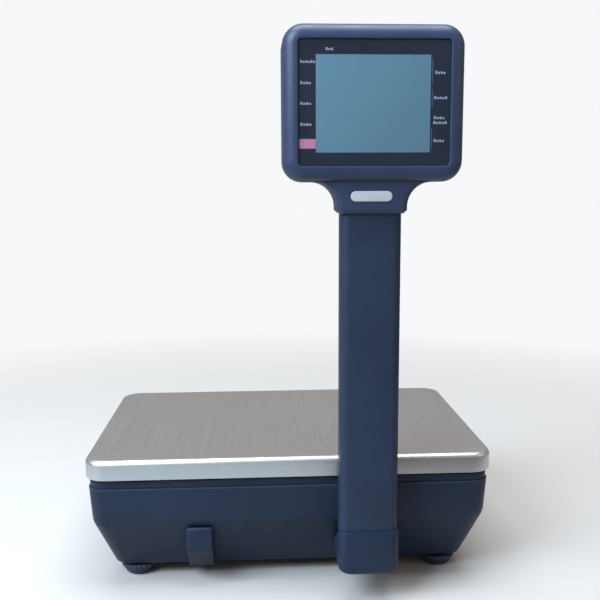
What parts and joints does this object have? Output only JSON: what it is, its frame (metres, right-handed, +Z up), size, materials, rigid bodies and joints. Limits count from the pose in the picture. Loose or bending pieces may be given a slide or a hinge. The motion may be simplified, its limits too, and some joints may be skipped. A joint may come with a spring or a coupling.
{
  "type": "retail price scale",
  "caption": "Counter-top price-computing scale with a stainless weighing platter, a sloping operator keypad and a two-sided display head on a pole at the customer's side.",
  "frame": {"origin": "centre of the bounding box's bottom face, on the table under the scale", "axes": "+X to the right as the customer sees it, +Y towards the operator, +Z up"},
  "size_m": [0.37, 0.3691, 0.491],
  "materials": {
    "navy_plastic": "fine-textured dark navy moulding",
    "black_plastic": "black moulding",
    "grey_key": "light grey key caps",
    "red_plastic": "red rocker",
    "brushed_steel": "brushed front to back",
    "aluminium": "machined",
    "rubber": "black rubber",
    "laminate": "green glass-fibre laminate",
    "dark_window": "dark printed window with a clear middle",
    "lcd_glass": "pale teal liquid crystal display, switched off",
    "level_vial": "clear green-yellow spirit level"
  },
  "bodies": {
    "base": {"battery": "black_plastic", "battery_door_pin": "brushed_steel", "bumper_customer_left": "rubber", "bumper_customer_right": "rubber", "bumper_operator_left": "rubber", "bumper_operator_right": "rubber", "chassis_plate": "brushed_steel", "customer_lcd": "lcd_glass", "customer_window": "dark_window", "display_board": "laminate", "display_cable": "black_plastic", "head_customer_shell": "navy_plastic", "head_operator_shell": "navy_plastic", "keypad_bezel": "black_plastic", "keypad_board": "laminate", "load_cell": "aluminium", "load_cell_spacer": "aluminium", "lower_housing": "navy_plastic", "main_board": "laminate", "operator_lcd": "lcd_glass", "operator_window": "dark_window", "platter_support": "aluminium", "pole_bracket": "navy_plastic", "pole_tube": "navy_plastic", "power_inlet": "black_plastic", "power_switch": "black_plastic", "spirit_level": "level_vial", "support_post": "aluminium", "upper_housing": "navy_plastic"},
    "platter": {"platter": "brushed_steel"},
    "battery_door": {"battery_door": "navy_plastic"},
    "power_rocker": {"power_switch_rocker": "red_plastic"},
    "foot_customer_left": {"foot_customer_left": "rubber"},
    "foot_wheel_customer_left": {"foot_wheel_customer_left": "black_plastic"},
    "foot_customer_right": {"foot_customer_right": "rubber"},
    "foot_wheel_customer_right": {"foot_wheel_customer_right": "black_plastic"},
    "foot_operator_left": {"foot_operator_left": "rubber"},
    "foot_wheel_operator_left": {"foot_wheel_operator_left": "black_plastic"},
    "foot_operator_right": {"foot_operator_right": "rubber"},
    "foot_wheel_operator_right": {"foot_wheel_operator_right": "black_plastic"},
    "key_1_1": {"key_1_1": "grey_key"},
    "key_1_2": {"key_1_2": "grey_key"},
    "key_1_3": {"key_1_3": "grey_key"},
    "key_1_4": {"key_1_4": "grey_key"},
    "key_1_5": {"key_1_5": "grey_key"},
    "key_2_1": {"key_2_1": "grey_key"},
    "key_2_2": {"key_2_2": "grey_key"},
    "key_2_3": {"key_2_3": "grey_key"},
    "key_2_4": {"key_2_4": "grey_key"},
    "key_2_5": {"key_2_5": "grey_key"},
    "key_3_1": {"key_3_1": "grey_key"},
    "key_3_2": {"key_3_2": "grey_key"},
    "key_3_3": {"key_3_3": "grey_key"},
    "key_3_4": {"key_3_4": "grey_key"},
    "key_3_5": {"key_3_5": "grey_key"},
    "key_4_1": {"key_4_1": "grey_key"},
    "key_4_2": {"key_4_2": "grey_key"},
    "key_4_3": {"key_4_3": "grey_key"},
    "key_4_4": {"key_4_4": "grey_key"},
    "key_4_5": {"key_4_5": "grey_key"}
  },
  "joints": [
    {"name": "platter_lift", "type": "slide", "parent": "base", "child": "platter", "axis": [0, 0, 1], "range_m": [0, 0.05]},
    {"name": "battery_door_hinge", "type": "hinge", "parent": "base", "child": "battery_door", "pos_m": [-0.07, -0.0563, 0.0142], "axis": [1, 0, 0], "range_deg": [0, 95]},
    {"name": "power_rocker_tilt", "type": "hinge", "parent": "base", "child": "power_rocker", "pos_m": [0.18037, 0.0505, 0.08056], "axis": [0, 1, 0], "range_deg": [0, 20]},
    {"name": "key_1_1_press", "type": "slide", "parent": "base", "child": "key_1_1", "axis": [0, -0.4295, -0.9031], "range_m": [0, 0.0025], "stiffness_N_per_m": 400},
    {"name": "key_1_2_press", "type": "slide", "parent": "base", "child": "key_1_2", "axis": [0, -0.4295, -0.9031], "range_m": [0, 0.0025], "stiffness_N_per_m": 400},
    {"name": "key_1_3_press", "type": "slide", "parent": "base", "child": "key_1_3", "axis": [0, -0.4295, -0.9031], "range_m": [0, 0.0025], "stiffness_N_per_m": 400},
    {"name": "key_1_4_press", "type": "slide", "parent": "base", "child": "key_1_4", "axis": [0, -0.4295, -0.9031], "range_m": [0, 0.0025], "stiffness_N_per_m": 400},
    {"name": "key_1_5_press", "type": "slide", "parent": "base", "child": "key_1_5", "axis": [0, -0.4295, -0.9031], "range_m": [0, 0.0025], "stiffness_N_per_m": 400},
    {"name": "key_2_1_press", "type": "slide", "parent": "base", "child": "key_2_1", "axis": [0, -0.4295, -0.9031], "range_m": [0, 0.0025], "stiffness_N_per_m": 400},
    {"name": "key_2_2_press", "type": "slide", "parent": "base", "child": "key_2_2", "axis": [0, -0.4295, -0.9031], "range_m": [0, 0.0025], "stiffness_N_per_m": 400},
    {"name": "key_2_3_press", "type": "slide", "parent": "base", "child": "key_2_3", "axis": [0, -0.4295, -0.9031], "range_m": [0, 0.0025], "stiffness_N_per_m": 400},
    {"name": "key_2_4_press", "type": "slide", "parent": "base", "child": "key_2_4", "axis": [0, -0.4295, -0.9031], "range_m": [0, 0.0025], "stiffness_N_per_m": 400},
    {"name": "key_2_5_press", "type": "slide", "parent": "base", "child": "key_2_5", "axis": [0, -0.4295, -0.9031], "range_m": [0, 0.0025], "stiffness_N_per_m": 400},
    {"name": "key_3_1_press", "type": "slide", "parent": "base", "child": "key_3_1", "axis": [0, -0.4295, -0.9031], "range_m": [0, 0.0025], "stiffness_N_per_m": 400},
    {"name": "key_3_2_press", "type": "slide", "parent": "base", "child": "key_3_2", "axis": [0, -0.4295, -0.9031], "range_m": [0, 0.0025], "stiffness_N_per_m": 400},
    {"name": "key_3_3_press", "type": "slide", "parent": "base", "child": "key_3_3", "axis": [0, -0.4295, -0.9031], "range_m": [0, 0.0025], "stiffness_N_per_m": 400},
    {"name": "key_3_4_press", "type": "slide", "parent": "base", "child": "key_3_4", "axis": [0, -0.4295, -0.9031], "range_m": [0, 0.0025], "stiffness_N_per_m": 400},
    {"name": "key_3_5_press", "type": "slide", "parent": "base", "child": "key_3_5", "axis": [0, -0.4295, -0.9031], "range_m": [0, 0.0025], "stiffness_N_per_m": 400},
    {"name": "key_4_1_press", "type": "slide", "parent": "base", "child": "key_4_1", "axis": [0, -0.4295, -0.9031], "range_m": [0, 0.0025], "stiffness_N_per_m": 400},
    {"name": "key_4_2_press", "type": "slide", "parent": "base", "child": "key_4_2", "axis": [0, -0.4295, -0.9031], "range_m": [0, 0.0025], "stiffness_N_per_m": 400},
    {"name": "key_4_3_press", "type": "slide", "parent": "base", "child": "key_4_3", "axis": [0, -0.4295, -0.9031], "range_m": [0, 0.0025], "stiffness_N_per_m": 400},
    {"name": "key_4_4_press", "type": "slide", "parent": "base", "child": "key_4_4", "axis": [0, -0.4295, -0.9031], "range_m": [0, 0.0025], "stiffness_N_per_m": 400},
    {"name": "key_4_5_press", "type": "slide", "parent": "base", "child": "key_4_5", "axis": [0, -0.4295, -0.9031], "range_m": [0, 0.0025], "stiffness_N_per_m": 400},
    {"name": "foot_customer_left_travel", "type": "slide", "parent": "base", "child": "foot_customer_left", "axis": [0, 0, 1], "range_m": [-0.005, 0.0008]},
    {"name": "foot_customer_left_turn", "type": "hinge", "parent": "foot_customer_left", "child": "foot_wheel_customer_left", "pos_m": [-0.144, -0.0939, 0.0048], "axis": [0, 0, 1], "range_deg": [-1440, 230.4]},
    {"name": "foot_customer_right_travel", "type": "slide", "parent": "base", "child": "foot_customer_right", "axis": [0, 0, 1], "range_m": [-0.005, 0.0008]},
    {"name": "foot_customer_right_turn", "type": "hinge", "parent": "foot_customer_right", "child": "foot_wheel_customer_right", "pos_m": [0.144, -0.0939, 0.0048], "axis": [0, 0, 1], "range_deg": [-1440, 230.4]},
    {"name": "foot_operator_left_travel", "type": "slide", "parent": "base", "child": "foot_operator_left", "axis": [0, 0, 1], "range_m": [-0.005, 0.0008]},
    {"name": "foot_operator_left_turn", "type": "hinge", "parent": "foot_operator_left", "child": "foot_wheel_operator_left", "pos_m": [-0.144, 0.1455, 0.0048], "axis": [0, 0, 1], "range_deg": [-1440, 230.4]},
    {"name": "foot_operator_right_travel", "type": "slide", "parent": "base", "child": "foot_operator_right", "axis": [0, 0, 1], "range_m": [-0.005, 0.0008]},
    {"name": "foot_operator_right_turn", "type": "hinge", "parent": "foot_operator_right", "child": "foot_wheel_operator_right", "pos_m": [0.144, 0.1455, 0.0048], "axis": [0, 0, 1], "range_deg": [-1440, 230.4]}
  ],
  "couplings": [
    {"joint": "foot_customer_left_turn", "follows": "foot_customer_left_travel", "rad_per_m": 5026.5},
    {"joint": "foot_customer_right_turn", "follows": "foot_customer_right_travel", "rad_per_m": 5026.5},
    {"joint": "foot_operator_left_turn", "follows": "foot_operator_left_travel", "rad_per_m": 5026.5},
    {"joint": "foot_operator_right_turn", "follows": "foot_operator_right_travel", "rad_per_m": 5026.5}
  ]
}
